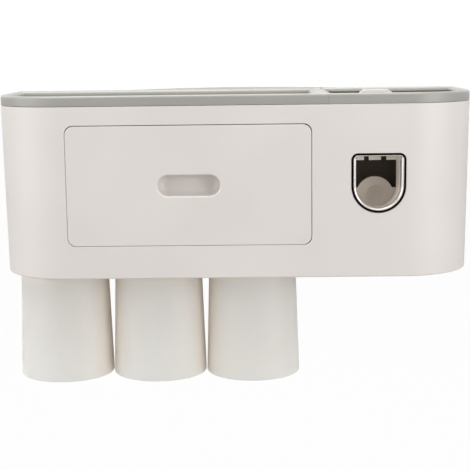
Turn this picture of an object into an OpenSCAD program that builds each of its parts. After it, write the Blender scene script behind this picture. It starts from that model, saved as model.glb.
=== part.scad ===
// Wall-mounted toothpaste dispenser with a drawer, a storage tray and a rail for three cups.
// X runs to the right, Y runs into the wall and Z runs up. The wall is the plane Y = 0.
// The origin is the middle of the wall plate's adhesive pad, on its wall side.

/* [Body] */
// Width of the body across the rim
body_w = 335; // [310:1:370]
// Depth of the body from its back face to its front face
body_d = 112; // [108:1:135]
// Height of the white casing under the rim
case_h = 119.2; // [117:0.1:135]
// Radius of the two front corners seen from above
corner_r = 49; // [30:1:55]
// How much each side leans in from the rim to the underside
side_taper = 1.6; // [0:0.1:4]
// Wall thickness of the casing
wall = 2.6; // [2.2:0.1:3.2]
// Radius of the edge round the underside
foot_r = 2.4; // [0.8:0.1:2.6]
// Thickness of the back cover
cover_t = 2.4; // [2:0.1:3]
// Rise of the crowned top edge of the back cover over the rim
crown_rise = 1.5; // [0.5:0.1:4]
// Width of the crowned part of the back cover
crown_w = 170; // [100:1:220]

/* [Rim] */
// Height of the grey band round the top
rim_h = 7.3; // [6:0.1:10]
// Width of the band's top face
rim_w = 4.8; // [4.2:0.1:6]
// Radius of the band's top outer edge
rim_r = 1.2; // [0.4:0.1:2]
// Height of the band's top over the middle of the wall plate
rim_z = 45; // [42:0.5:60]
// Distance of the joint between the tray's band and the well's band from the window's middle
seam_gap = 34.1; // [31:0.1:40]
// Depth of the snap skirt under the well's band
skirt_h = 6; // [4:0.5:10]

/* [Storage tray] */
// Depth of the tray's pocket under the rim
tray_depth = 16.2; // [10:0.1:17]
// Thickness of the tray's walls and floor
tray_t = 1.8; // [1.2:0.1:2.4]
// Width of the tray's bridge over the partition
bridge_w = 8.8; // [7:0.1:10]

/* [Drawer] */
// Distance of the drawer's front panel from the start of the left round corner
drawer_inset = 2.8; // [2.6:0.1:20]
// Distance of the drawer's front panel from the joint in the rim
drawer_gap = 11.7; // [10:0.1:30]
// Height of the drawer's front panel
drawer_h = 82.9; // [70:0.1:84]
// Middle of the drawer panel under the top of the rim
drawer_drop = 61.85; // [61:0.05:70]
// Corner radius of the drawer's front panel
drawer_r = 6; // [2:0.1:12]
// Thickness of the drawer's front panel
panel_t = 3.2; // [2.6:0.1:4]
// Thickness of the drawer box's walls
box_t = 1.8; // [1.2:0.1:2.4]
// Outside depth of the drawer box
box_d = 90; // [70:1:92]
// Outside height of the drawer box
box_h = 69.6; // [50:0.1:70]
// Width of the finger recess
recess_w = 43.4; // [30:0.1:60]
// Height of the finger recess
recess_h = 15.3; // [12:0.1:24]
// Depth of the finger recess
recess_d = 8.5; // [5:0.1:12]
// Height of the bar that stops the open drawer
stop_h = 6.5; // [4:0.1:7]

/* [Window] */
// Distance of the dispensing window's middle from the start of the right round corner
window_inset = 20; // [19.5:0.5:30]
// Middle of the window's round end under the top of the rim
window_drop = 63.25; // [62:0.05:68]
// Half the width of the window over its black seal
window_r = 18.5; // [17:0.1:19]
// Rise of the window's flat top over the middle of its round end
window_rise = 22.1; // [20:0.1:23]
// Radius of the window's two top corners
window_corner = 4.4; // [3.5:0.1:8]
// Width of the black seal ring
seal_w = 0.9; // [0.6:0.1:1.4]
// Width of the bright bezel ring
bezel_w = 2.2; // [1.6:0.1:2.6]
// How far the bezel stands out of the front
bezel_proud = 0.6; // [0.2:0.1:1.5]

/* [Squeezer cartridge] */
// Width of the cartridge
cart_w = 48; // [47:0.5:50]
// Setback of the cartridge's front plate from the body's front
cart_setback = 6; // [5.8:0.1:7]
// Thickness of the cartridge's plates
cart_t = 2; // [1.6:0.1:2.4]
// Setback of the cartridge's back face from the body's front
cart_depth = 57.5; // [56:0.5:62]
// Height of the cartridge's closed box
cart_h = 72; // [71:0.5:74]
// Depth of the brush tunnel from the body's front
tunnel_d = 26; // [25:0.5:27]
// How much each side of the tunnel narrows to the back
tunnel_draft = 1.6; // [0.5:0.1:2]
// Rise of the pull tab over the rim
tab_rise = 2.7; // [1.5:0.1:6]
// Width of the pull tab at the level of the rim
tab_w = 21.5; // [14:0.5:30]
// Width of the pull tab at its top
tab_top_w = 16.1; // [10:0.1:24]
// Drop of the three guard teeth under the tunnel's ceiling
tooth_drop = 3.6; // [2:0.1:5]
// Width of the slots between the guard teeth
tooth_slot = 3.2; // [2:0.1:4]

/* [Push lever] */
// Radius of the arched top of the push scoop
scoop_r = 13.2; // [10:0.1:14]
// Height of the arch's middle over the tunnel's floor
scoop_mid = 6.3; // [5:0.1:8]
// Height of the scoop's shoulders over the tunnel's floor
shoulder_h = 11; // [9:0.1:12]
// Thickness of the scoop plate
scoop_t = 2.2; // [1.8:0.1:2.6]
// Depth of the dish in the scoop
dish_d = 3.4; // [2:0.1:4]
// Width of the dish
dish_w = 13.5; // [10:0.1:15]
// Height of the dish
dish_h = 15.6; // [12:0.1:16]
// Thickness of the lever's two arms
arm_t = 2.5; // [2:0.1:3]
// Diameter of the hinge pin
pin_d = 3; // [2.5:0.1:3.5]
// Swing of the lever
swing = 14; // [8:0.5:14]
// Setback of the hinge pin from the body's front
pin_setback = 41.5; // [41:0.1:43]
// Height of the hinge pin over the middle of the window's round end
pin_rise = 20.3; // [19:0.1:22]
// Height of the lever's arms over the hinge pin
press_rise = 22; // [20:0.1:24]

/* [Pump] */
// Setback of the pump's middle from the body's front
pump_setback = 31.5; // [31:0.1:33]
// Diameter of the silicone pump sleeve
pump_d = 16; // [14:0.5:17]
// Wall of the silicone pump sleeve
pump_t = 1.8; // [1.2:0.1:2.4]
// Diameter of the socket that grips the neck of a tube
socket_d = 13; // [11:0.1:14]
// Height of the socket
socket_h = 10.5; // [8:0.1:11]
// Wire diameter of the return spring
wire_d = 0.8; // [0.6:0.1:1]
// Coil diameter of the return spring, on its middle line
coil_d = 8; // [7:0.1:9]
// Number of turns of the return spring
coil_turns = 6; // [4:1:8]

/* [Cups] */
// Diameter of a cup at its mouth
cup_d = 68; // [60:0.5:70]
// Height of a cup
cup_h = 77.1; // [60:0.1:100]
// Diameter of a cup at its base
cup_base_d = 63.4; // [50:0.1:66]
// Wall thickness of a cup
cup_t = 1.8; // [1.4:0.1:2.4]
// Gap between two cups at their mouths
cup_gap = 0.6; // [0.4:0.1:6]
// Distance of the left cup's middle from the body's left side
cup_side = 41.8; // [36:0.1:60]
// Setback of the cups' middle line from the body's front
cup_setback = 46; // [42:0.5:60]

/* [Magnets] */
// Diameter of the magnets over the cups
magnet_d = 22; // [16:0.5:24]
// Thickness of the magnets
magnet_t = 4; // [3:0.1:5]
// Plastic left under each magnet
magnet_skin = 1.2; // [0.8:0.1:1.6]
// Diameter of the locating pad under the body
locator_d = 29; // [24:0.5:34]
// Diameter of the steel disc in a cup's base
disc_d = 26; // [18:0.5:28]
// Thickness of the steel disc
disc_t = 1.2; // [0.8:0.1:2]

/* [Wall plate] */
// Length of the wall plate's ends beyond the hooks
plate_end = 25; // [15:1:40]
// Height of the wall plate
plate_h = 58; // [50:1:66]
// Thickness of the wall plate
plate_t = 2.2; // [1.8:0.1:3]
// Thickness of the adhesive pad
pad_t = 1; // [0.6:0.1:2]
// Distance of the hooks from the casing's middle screws
hook_out = 14.9; // [14:0.1:20]
// Width of a hook
hook_w = 14; // [10:0.5:20]
// Height of a hook's lip over its stem
hook_lip = 9; // [6:0.5:10]
// Thickness of a hook's stem
hook_t = 4; // [3:0.1:5]

/* [Fasteners] */
// Shank diameter of the casing screws
screw_d = 2.8; // [2.4:0.1:3]
// Head diameter of the casing screws
screw_head_d = 5.6; // [5:0.1:6]
// Length of the casing screws' shanks
screw_l = 12; // [8:0.5:14]
// Shank diameter of the cartridge screws
small_screw_d = 2; // [1.8:0.1:2.2]

/* [Clearances] */
// Gap between fixed pieces that meet
fit_gap = 0.2; // [0.1:0.05:0.3]
// Gap round pieces that slide or lift out
slide_gap = 0.6; // [0.4:0.05:0.8]
// Gap round the drawer panel
panel_gap = 0.5; // [0.4:0.05:0.8]
// Radial play of pins and screws in their holes
pin_play = 0.05; // [0.03:0.01:0.08]

/* [Hidden] */
$fn = 64;

// A hair of overlap that makes cuts clean
eps = 0.02;

// Body: planes and levels
hang_gap = 0.3;
back_y = -(pad_t + plate_t + hang_gap);
front_y = back_y - body_d;
shell_back_y = back_y - cover_t - fit_gap / 2;
rim_back_y = shell_back_y - fit_gap;
case_top = rim_z - rim_h;
case_bottom = case_top - case_h;
case_floor = case_bottom + wall;
corner_cx = body_w / 2 - corner_r;
corner_cy = front_y + corner_r;
inner_front = front_y + wall;
window_x = corner_cx - window_inset;
seam_x = window_x - seam_gap;

// Tray and partition
rim_bottom = case_top + fit_gap;
pocket_inset = wall + slide_gap;
tray_edge = seam_x - fit_gap;
pocket_right = tray_edge - bridge_w;
partition_x = pocket_right + tray_t + slide_gap;
partition_top = rim_z - 2 * tray_t - fit_gap;
tray_floor_z = rim_z - tray_depth;

// Drawer and its bay
drawer_w = seam_x - drawer_gap + corner_cx - drawer_inset;
drawer_x = seam_x - drawer_gap - drawer_w / 2;
drawer_z = rim_z - drawer_drop;
drawer_bottom = drawer_z - drawer_h / 2;
box_inset = 2.1;
box_raise = 1;
box_w = drawer_w - 2 * box_inset;
box_bottom = drawer_bottom + box_raise;
box_top = box_bottom + box_h;
box_front = front_y + panel_t + fit_gap;
box_back = box_front + box_d;
bay_half = box_w / 2 + slide_gap;
bay_t = 1.8;
ledge_w = 7;
ledge_t = 2.1;
ledge_z = box_bottom - ledge_t - 0.3;
hold_z = box_top + 0.4;
hold_l = 45;
bay_gap = 4;
bay_back = shell_back_y - bay_gap;
bay_front = inner_front - eps;
stop_gap = 1.2;
stop_z = box_top + stop_gap;
stop_y = inner_front + stop_gap;
stop_t = 2.4;
tab_block_w = 16;
tab_block_t = 2.2;
tab_block_h = stop_h - 1;
drawer_screw_in = 14;
drawer_screw_up = 9;
drawer_screw_points = [for (sx = [-1, 1], sz = [-1, 1])
    [sx * (box_w / 2 - drawer_screw_in), sz * (box_h / 2 - drawer_screw_up)]];
drawer_screw_l = 4;
drawer_screw_z = box_bottom + box_h / 2;
recess_wall = 1.6;

// Window and tunnel
window_z = rim_z - window_drop;
tunnel_r = window_r - seal_w - fit_gap / 2 - bezel_w;
tunnel_rise = window_rise - seal_w - fit_gap / 2 - bezel_w;
tunnel_floor = window_z - tunnel_r;
cart_front = front_y + cart_setback;
cart_back_y = front_y + cart_depth;
cart_back_t = 2;
tunnel_back = front_y + tunnel_d;
tunnel_back_r = tunnel_r - tunnel_draft;
tunnel_t = 1.6;
frame_back = cart_back_y - cart_back_t - fit_gap / 2;
tooth_t = 1.5;

// Lever
pin_y = front_y + pin_setback;
pin_z = window_z + pin_rise;
lever_gap = 0.3;
lever_front = tunnel_back + lever_gap;
scoop_z = tunnel_floor + scoop_mid;
arm_gap = 0.55;
arm_in = tunnel_r + tunnel_t + arm_gap;
arm_out = arm_in + arm_t;
arm_half = 4;
arm_foot = 7.5;
scoop_tuck = 3;
scoop_low = tunnel_floor - scoop_tuck;
dish_mid = 4.6;
dish_z = tunnel_floor + dish_mid;
dish_t = 1.6;
press_top = pin_z + press_rise;
lever_room = 2.95;
lever_low = pin_z + (lever_front - pin_y) * sin(swing) + (scoop_low - pin_z) * cos(swing);
cart_bottom = lever_low - lever_room - cart_t;
deck_z = cart_bottom + cart_h;
spring_seat = 2.3;

// Pump
pump_y = front_y + pump_setback;
pump_top = deck_z + cart_t;
flange_w = 3.5;
pump_flange_r = pump_d / 2 + flange_w;
flange_t = 1.5;
valve_t = 0.8;
valve_gap = 0.1;
pump_rise = 21.5;
pump_low = window_z + pump_rise;
outlet_r = pump_d / 2 - flange_w;
outlet_h = 5;
collar_base = pump_top + flange_t + valve_t + 3 * valve_gap;
upstand_h = 3.5;
upstand_t = 1.5;
presser_gap = 0.3;
presser_front = pump_y + pump_d / 2 + presser_gap;
presser_t = 3;
presser_w = 12;
presser_h = 8;
stud_r = 1.5;

// Cups and magnets
cup_pitch = cup_d + cup_gap;
cup_y = front_y + cup_setback;
cup_xs = [for (i = [0 : 2]) cup_side - body_w / 2 + i * cup_pitch];
cup_gap_top = 0.3;
cup_top = case_bottom - cup_gap_top;
locator_h = 1;
locator_gap = 0.2;
disc_skin = 1.2;
plug_t = 1.2;
disc_drop = locator_h + locator_gap + disc_skin;
cup_floor_drop = disc_drop + disc_t + plug_t;
disc_ceiling = cup_top - disc_drop;
boss_h = 6;
boss_wall = 2.4;
cap_t = 1.2;
cap_room = ledge_z - case_floor - boss_h - 2;
magnet_z = case_bottom + magnet_skin;

// Wall plate
hook_z = 3;
slot_play = 0.5;
lift_travel = hook_lip + slot_play;
cover_in_y = back_y - cover_t;

// Screws that hold the back cover, at the left side, the partition and the right side
boss_r = 3.6;
boss_l = 18;
boss_in = 10.5;
boss_up = 11.5;
boss_down = 29.7;
screw_side_x = body_w / 2 - boss_in;
screw_mid_x = partition_x + wall / 2 + 1;
screw_low_z = case_bottom + boss_up;
screw_high_z = case_top - boss_down;
hook_x = screw_mid_x + hook_out;
plate_w = 2 * (hook_x + plate_end);
screw_points = [for (x = [-screw_side_x, screw_mid_x, screw_side_x], z = [screw_low_z, screw_high_z])
    [x, z]];
head_t = 1.6;
cart_boss_r = 3;
cart_boss_l = 8;
cart_screw_l = 8;
cart_screw_head = 1.25;
cart_screw_in = 4.6;
cart_screw_low = cart_bottom + 5;
cart_screw_high = deck_z - 6;
cart_screw_points = [for (s = [-1, 1], z = [cart_screw_low, cart_screw_high])
    [window_x + s * (cart_w / 2 - cart_screw_in), z]];

// Colours
white = [0.86, 0.84, 0.82];
grey = [0.60, 0.61, 0.58];
clear = [0.88, 0.90, 0.90];
black = [0.05, 0.05, 0.05];
chrome = [0.80, 0.80, 0.82];
milky = [0.83, 0.84, 0.81];
steel = [0.62, 0.63, 0.65];
silicone = [0.78, 0.78, 0.76];

// Outlines

// The plan of the body: square at the back, two round corners in front
module plan(inset, rear = rim_back_y, half = body_w / 2) {
    cx = half - corner_r;
    translate([-half + inset, corner_cy])
        square([2 * (half - inset), rear - corner_cy]);
    translate([-cx, front_y + inset])
        square([2 * cx, rear - front_y - inset]);
    for (s = [-1, 1])
        translate([s * cx, corner_cy])
            circle(r = corner_r - inset);
}

// A rectangle with round corners, centred
module round_rect(w, h, r) {
    square([w - 2 * r, h], center = true);
    square([w, h - 2 * r], center = true);
    for (sx = [-1, 1], sy = [-1, 1])
        translate([sx * (w / 2 - r), sy * (h / 2 - r)])
            circle(r = r);
}

// The window's outline: a round lower end, straight sides and a flat top with round corners
module window_shape(r, rise, c) {
    circle(r = r);
    translate([-r, 0])
        square([2 * r, rise - c]);
    translate([-r + c, 0])
        square([2 * (r - c), rise]);
    for (s = [-1, 1])
        translate([s * (r - c), rise - c])
            circle(r = c);
}

// A slot with round ends, centred
module pill(w, h) {
    square([w - h, h], center = true);
    for (s = [-1, 1])
        translate([s * (w - h) / 2, 0])
            circle(r = h / 2);
}

// Stands a flat outline up in the XZ plane and gives it depth from y0 back to y1
module stand(y0, y1) {
    translate([0, y1, 0])
        rotate([90, 0, 0])
            linear_extrude(y1 - y0)
                children();
}

// Rim band, in the frame of its own profile: X is the way in from the outer face
module rim_profile() {
    steps = 4;
    arc = [for (i = [0 : steps])
        let (a = 90 * i / steps)
        [rim_r - rim_r * cos(a), rim_h - fit_gap - rim_r + rim_r * sin(a)]];
    polygon(concat([[rim_w, rim_h - fit_gap], [rim_w, 0], [0, 0]], arc));
}

module rim_front(x0, x1) {
    translate([x0, front_y, rim_bottom])
        rotate([90, 0, 90])
            linear_extrude(x1 - x0)
                rim_profile();
}

module rim_rear(x0, x1) {
    translate([x0, rim_back_y, rim_bottom])
        mirror([0, 1, 0])
            rotate([90, 0, 90])
                linear_extrude(x1 - x0)
                    rim_profile();
}

// The band round one front corner and along that side, on the left
module rim_side() {
    translate([-body_w / 2, rim_back_y, rim_bottom])
        rotate([90, 0, 0])
            linear_extrude(rim_back_y - corner_cy)
                rim_profile();
    translate([-corner_cx, corner_cy, rim_bottom])
        rotate([0, 0, 180])
            rotate_extrude(angle = 90)
                translate([corner_r, 0])
                    mirror([1, 0])
                        rim_profile();
}

// Wall plate

module adhesive_pad() {
    color(clear)
        stand(-pad_t, 0)
            round_rect(plate_w + 2, plate_h + 2, 7);
}

// One hook: a stem out of the plate and a lip that stands up behind the back cover
module hook() {
    lip_t = 2.4;
    lip_front = cover_in_y - 0.4 - lip_t;
    stem_top = hook_z;
    translate([-hook_w / 2, lip_front, stem_top - hook_t])
        cube([hook_w, -pad_t - plate_t + eps - lip_front, hook_t]);
    translate([-hook_w / 2, lip_front, stem_top - hook_t])
        cube([hook_w, lip_t, hook_t + hook_lip - lip_t]);
    translate([-hook_w / 2, lip_front + lip_t / 2, stem_top + hook_lip - lip_t])
        rotate([0, 90, 0])
            intersection() {
                cylinder(h = hook_w, r = lip_t / 2);
                translate([-lip_t, -lip_t, 0])
                    cube([2 * lip_t, 2 * lip_t, hook_w]);
            }
}

module wall_plate() {
    color(clear) {
        stand(-pad_t - plate_t, -pad_t)
            round_rect(plate_w, plate_h, 6);
        for (s = [-1, 1])
            translate([s * hook_x, 0, 0])
                hook();
    }
}

// Casing

// One slice of the casing's outside or inside, leaning in with depth under the rim
module case_slice(z, inset, rear) {
    half = body_w / 2 - side_taper * (case_top - z) / case_h;
    translate([0, 0, z])
        linear_extrude(eps)
            plan(inset, rear, half);
}

module case_outside() {
    steps = 4;
    hull() {
        case_slice(case_top - eps, 0, shell_back_y);
        for (i = [0 : steps]) {
            a = 90 * i / steps;
            case_slice(case_bottom + foot_r * (1 - cos(a)), foot_r * (1 - sin(a)), shell_back_y);
        }
    }
}

module case_inside() {
    hull() {
        case_slice(case_top + 1, wall, shell_back_y + 1);
        case_slice(case_floor, wall, shell_back_y + 1);
    }
}

// Side wall, ledge and hold-down strip of the drawer's bay, on its right side
module bay_side(web_to) {
    y0 = bay_front;
    len = bay_back - bay_front;
    top = stop_z + stop_h;
    translate([bay_half, y0, ledge_z])
        cube([bay_t, len, top - ledge_z]);
    translate([bay_half - ledge_w, y0, ledge_z])
        cube([ledge_w + bay_t, len, ledge_t]);
    translate([bay_half - ledge_w / 2, bay_back - hold_l, hold_z])
        cube([ledge_w / 2 + bay_t, hold_l, bay_t]);
    if (web_to > bay_half)
        for (z = [ledge_z, hold_z])
            translate([bay_half, y0, z])
                cube([web_to - bay_half, len, ledge_t]);
}

module drawer_bay() {
    translate([drawer_x, 0, 0]) {
        bay_side(partition_x - drawer_x + eps);
        mirror([1, 0, 0])
            bay_side(0);
        translate([-bay_half - bay_t, bay_front, case_floor - eps])
            cube([bay_t, bay_back - bay_front, box_bottom - case_floor]);
        translate([-bay_half - eps, stop_y, stop_z])
            cube([2 * bay_half + 2 * eps, stop_t, stop_h]);
    }
}

// Posts for the back cover's screws, each tied to the nearest wall by a rib
module screw_bosses() {
    for (p = screw_points)
        translate([p[0], 0, p[1]]) {
            stand(shell_back_y - boss_l, shell_back_y - 0.1)
                circle(r = boss_r);
            reach = abs(p[0]) < body_w / 4 ? 0 : wall + 5.5;
            if (reach > 0)
                translate([p[0] > 0 ? 0 : -reach, shell_back_y - boss_l, -wall / 2])
                    cube([reach, boss_l - 0.1, wall]);
        }
}

module screw_pilots() {
    for (p = screw_points)
        translate([p[0], 0, p[1]])
            stand(shell_back_y - screw_l - 1, shell_back_y + 1)
                circle(r = screw_d / 2 + pin_play);
}

// Guides that keep the cartridge in line and the ribs that it stands on
module cartridge_guides() {
    guide_x = cart_w / 2 + slide_gap;
    for (s = [-1, 1]) {
        translate([window_x + s * (guide_x + 1) - 1, inner_front - eps, cart_bottom - 8])
            cube([2, cart_setback + 5, case_top - 6 - cart_bottom]);
        translate([window_x + s * (cart_w / 2 - 5) - 1, inner_front - eps, case_floor - eps])
            cube([2, cart_depth - 10, cart_bottom - case_floor - 0.1]);
    }
}

// The wall between drawer and well; between the bands it goes up to the tray's bridge
module partition() {
    inset = rim_w + tray_t + slide_gap;
    translate([partition_x, inner_front - eps, case_floor - eps])
        cube([wall, shell_back_y - inner_front - fit_gap / 2, case_top - case_floor]);
    translate([partition_x, front_y + inset, case_top - 1])
        cube([wall, rim_back_y - front_y - 2 * inset, partition_top - case_top + 1]);
}

module magnet_bosses() {
    for (x = cup_xs)
        translate([x, cup_y, case_bottom - locator_h]) {
            cylinder(h = locator_h + eps, r = locator_d / 2);
            translate([0, 0, locator_h + wall - eps])
                cylinder(h = boss_h, r = magnet_d / 2 + boss_wall);
        }
}

// Pockets for the magnets, and room for their caps where the bay's side wall crosses them
module magnet_pockets() {
    for (x = cup_xs)
        translate([x, cup_y, magnet_z]) {
            cylinder(h = wall + boss_h + 1, r = magnet_d / 2 + pin_play);
            translate([0, 0, wall - magnet_skin + boss_h])
                cylinder(h = cap_room, r = magnet_d / 2 + boss_wall + 0.4);
        }
}

module housing() {
    color(white)
        difference() {
            union() {
                difference() {
                    case_outside();
                    case_inside();
                }
                partition();
                drawer_bay();
                screw_bosses();
                cartridge_guides();
                magnet_bosses();
            }
            magnet_pockets();
            screw_pilots();
            translate([drawer_x, 0, drawer_z])
                stand(front_y - 1, box_front + 0.1)
                    round_rect(drawer_w + 2 * panel_gap, drawer_h + 2 * panel_gap, drawer_r + panel_gap);
            translate([window_x, 0, window_z])
                stand(front_y - 1, inner_front + 0.1)
                    window_shape(window_r + fit_gap, window_rise + fit_gap, window_corner);
        }
}

// Outline of the back cover: it follows the casing's lean and rises to a shallow crown
module cover_outline() {
    low = body_w / 2 - side_taper;
    top = rim_z - fit_gap;
    crown_r = (pow(crown_w / 2, 2) + pow(crown_rise, 2)) / (2 * crown_rise);
    polygon([[-low + foot_r, case_bottom], [low - foot_r, case_bottom], [low, case_bottom + foot_r],
        [body_w / 2, case_top], [body_w / 2, top], [-body_w / 2, top], [-body_w / 2, case_top],
        [-low, case_bottom + foot_r]]);
    intersection() {
        translate([0, top + crown_rise - crown_r])
            circle(r = crown_r, $fn = 720);
        translate([-crown_w / 2, top - 1])
            square([crown_w, 1 + crown_rise]);
    }
}

// Ribs on the cover that locate it inside the casing's side walls and floor
module cover_ribs() {
    rib = 1.6;
    depth = 3;
    floor_l = body_w / 9;
    side_cut = 12;
    low = body_w / 2 - side_taper - wall - slide_gap - rib;
    for (s = [-1, 1])
        translate([s * (low + rib / 2) - rib / 2, cover_in_y - depth, screw_low_z + side_cut])
            cube([rib, depth + eps, screw_high_z - screw_low_z - 2 * side_cut]);
    for (s = [-1, 1])
        translate([s * body_w / 3 - floor_l / 2, cover_in_y - depth, case_floor + slide_gap])
            cube([floor_l, depth + eps, rib]);
}

module back_cover() {
    slot_top = hook_z + 0.2;
    slot_h = hook_t + lift_travel + slot_play;
    color(white)
        difference() {
            union() {
                stand(cover_in_y, back_y)
                    cover_outline();
                cover_ribs();
            }
            for (s = [-1, 1])
                translate([s * hook_x - hook_w / 2 - slot_play, cover_in_y - 1, slot_top - slot_h])
                    cube([hook_w + 2 * slot_play, cover_t + 2, slot_h]);
            for (p = screw_points)
                translate([p[0], 0, p[1]]) {
                    stand(cover_in_y - 1, back_y + 1)
                        circle(r = screw_d / 2 + pin_play);
                    stand(back_y - head_t, back_y + 1)
                        circle(r = screw_head_d / 2 + 0.2);
                }
        }
}

// A screw with a round head and a slotless cross recess, along Y, head at the back
module screw(d, head_d, len, head) {
    cross = head_d * 0.55;
    difference() {
        union() {
            stand(-head, 0)
                circle(r = head_d / 2);
            stand(-head - len, -head + eps)
                circle(r = d / 2);
        }
        for (a = [0, 90])
            rotate([0, a, 0])
                translate([-cross / 2, -head * 0.55, -0.3])
                    cube([cross, head, 0.6]);
    }
}

module back_screws() {
    color(steel)
        for (p = screw_points)
            translate([p[0], back_y, p[1]])
                screw(screw_d, screw_head_d, screw_l, head_t - 0.1);
}

// Rim pieces

module tray_pocket(inset, right) {
    intersection() {
        plan(inset, rim_back_y - inset);
        translate([-body_w, front_y - 1])
            square([body_w + right, body_d + 2]);
    }
}

module storage_tray() {
    wall_in = pocket_inset + tray_t;
    color(grey) {
        difference() {
            union() {
                rim_front(-corner_cx, tray_edge);
                rim_side();
                rim_rear(-body_w / 2, tray_edge);
                translate([0, 0, tray_floor_z - tray_t])
                    linear_extrude(tray_depth + tray_t - 1)
                        tray_pocket(pocket_inset, pocket_right + tray_t);
                translate([pocket_right, front_y + rim_w - eps, rim_z - tray_t])
                    cube([bridge_w, rim_back_y - front_y - 2 * rim_w + 2 * eps, tray_t]);
            }
            translate([0, 0, tray_floor_z])
                linear_extrude(tray_depth + 1)
                    tray_pocket(max(wall_in, rim_w), pocket_right);
        }
    }
}

// The skirt that snaps the well's band inside the casing
module well_skirt() {
    edge = seam_x + fit_gap;
    outer = wall + fit_gap;
    skirt_t = rim_w - outer - fit_gap;
    skirt_end = 16;
    intersection() {
        difference() {
            translate([0, 0, rim_bottom - skirt_h])
                linear_extrude(skirt_h + 1)
                    plan(outer);
            translate([0, 0, rim_bottom - skirt_h - 1])
                linear_extrude(skirt_h + 3)
                    plan(outer + skirt_t, rim_back_y + 1);
        }
        translate([corner_cx + 2, front_y, 0])
            cube([corner_r, rim_back_y - front_y - skirt_end, rim_z]);
    }
    translate([edge + 1, rim_back_y - rim_w + slide_gap / 2, rim_bottom - skirt_h])
        cube([body_w / 2 - edge - 1 - skirt_end, skirt_t, skirt_h + 1]);
}

module well_rim() {
    edge = seam_x + fit_gap;
    bar_w = 2.4;
    color(grey) {
        rim_front(edge, corner_cx);
        mirror([1, 0, 0])
            rim_side();
        rim_rear(edge, body_w / 2);
        translate([edge, front_y + rim_w - 1, rim_bottom])
            cube([bar_w, rim_back_y - front_y - 2 * rim_w + 2, rim_h - fit_gap - 0.4]);
        well_skirt();
    }
}

// Drawer

module drawer_front() {
    back = front_y + panel_t;
    color(white)
        translate([drawer_x, 0, drawer_z])
            difference() {
                union() {
                    stand(front_y, back)
                        round_rect(drawer_w, drawer_h, drawer_r);
                    stand(front_y + 1, front_y + recess_d + recess_wall)
                        pill(recess_w + 2 * recess_wall, recess_h + 2 * recess_wall);
                }
                stand(front_y - 1, front_y + recess_d)
                    pill(recess_w, recess_h);
                for (p = drawer_screw_points)
                    translate([p[0], 0, p[1] + drawer_screw_z - drawer_z])
                        stand(back - 2.3, back + 1)
                            circle(r = small_screw_d / 2 + pin_play);
            }
}

module drawer_box() {
    inner_w = box_w - 2 * box_t;
    around = recess_wall + fit_gap;
    color(white)
        translate([drawer_x, 0, 0]) {
            difference() {
                translate([-box_w / 2, box_front, box_bottom])
                    cube([box_w, box_d, box_h]);
                translate([-inner_w / 2, box_front + box_t, box_bottom + box_t])
                    cube([inner_w, box_d - 2 * box_t, box_h]);
                translate([0, 0, drawer_z])
                    stand(box_front - 1, box_front + box_t + 1)
                        pill(recess_w + 2 * around, recess_h + 2 * around);
                for (p = drawer_screw_points)
                    translate([p[0], 0, p[1] + drawer_screw_z])
                        stand(box_front - 1, box_front + box_t + 1)
                            circle(r = small_screw_d / 2 + pin_play);
            }
            for (s = [-1, 1])
                translate([s * box_w / 4 - tab_block_w / 2, box_back - tab_block_t, box_top - eps])
                    cube([tab_block_w, tab_block_t, tab_block_h]);
        }
}

module drawer_screws() {
    head = 1.2;
    color(steel)
        for (p = drawer_screw_points)
            translate([drawer_x + p[0], box_front + box_t + 0.05 + head, p[1] + drawer_screw_z])
                screw(small_screw_d, 2 * small_screw_d, drawer_screw_l, head);
}

// Window

module window_seal() {
    color(black)
        translate([window_x, 0, window_z])
            difference() {
                stand(front_y - bezel_proud / 2, inner_front)
                    window_shape(window_r, window_rise, window_corner);
                stand(front_y - 2, inner_front + 1)
                    window_shape(window_r - seal_w, window_rise - seal_w, window_corner - seal_w);
            }
}

module window_bezel() {
    r = window_r - seal_w - fit_gap / 2;
    rise = window_rise - seal_w - fit_gap / 2;
    c = window_corner - seal_w;
    lip = bezel_w / 3;
    color(chrome)
        translate([window_x, 0, window_z])
            difference() {
                union() {
                    stand(front_y, cart_front - 0.4)
                        window_shape(r, rise, c);
                    stand(front_y - bezel_proud, front_y + eps)
                        window_shape(r - lip, rise - lip, c - lip);
                }
                stand(front_y - 2, cart_front + 1)
                    window_shape(tunnel_r, tunnel_rise, c - bezel_w / 2);
            }
}

// Squeezer cartridge

// A solid that fills the brush tunnel, grown by a wall, with the draft of the real one
module tunnel_solid(grow, y0, y1) {
    corner = 2.2;
    z_back = window_z - tunnel_draft;
    hull() {
        translate([window_x, 0, window_z])
            stand(y0, y0 + eps)
                window_shape(tunnel_r + grow, tunnel_rise + grow, corner + grow, $fn = 48);
        translate([window_x, 0, z_back])
            stand(y1 - eps, y1)
                window_shape(tunnel_back_r + grow, tunnel_rise + grow + tunnel_draft - 1, corner + grow,
                    $fn = 48);
    }
}

// The three guard teeth over the back of the tunnel
module guard_teeth() {
    top = window_z + tunnel_rise - 1;
    half = tunnel_back_r + tunnel_t / 2;
    middle_half = 4.6;
    difference() {
        translate([window_x - half, tunnel_back - tooth_t, top - tooth_drop])
            cube([2 * half, tooth_t, tooth_drop + 1.5]);
        for (s = [-1, 1])
            translate([window_x + s * (middle_half + tooth_slot / 2) - tooth_slot / 2,
                tunnel_back - tooth_t - 1, top - tooth_drop - 1])
                cube([tooth_slot, tooth_t + 2, tooth_drop + 1]);
    }
}

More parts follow.
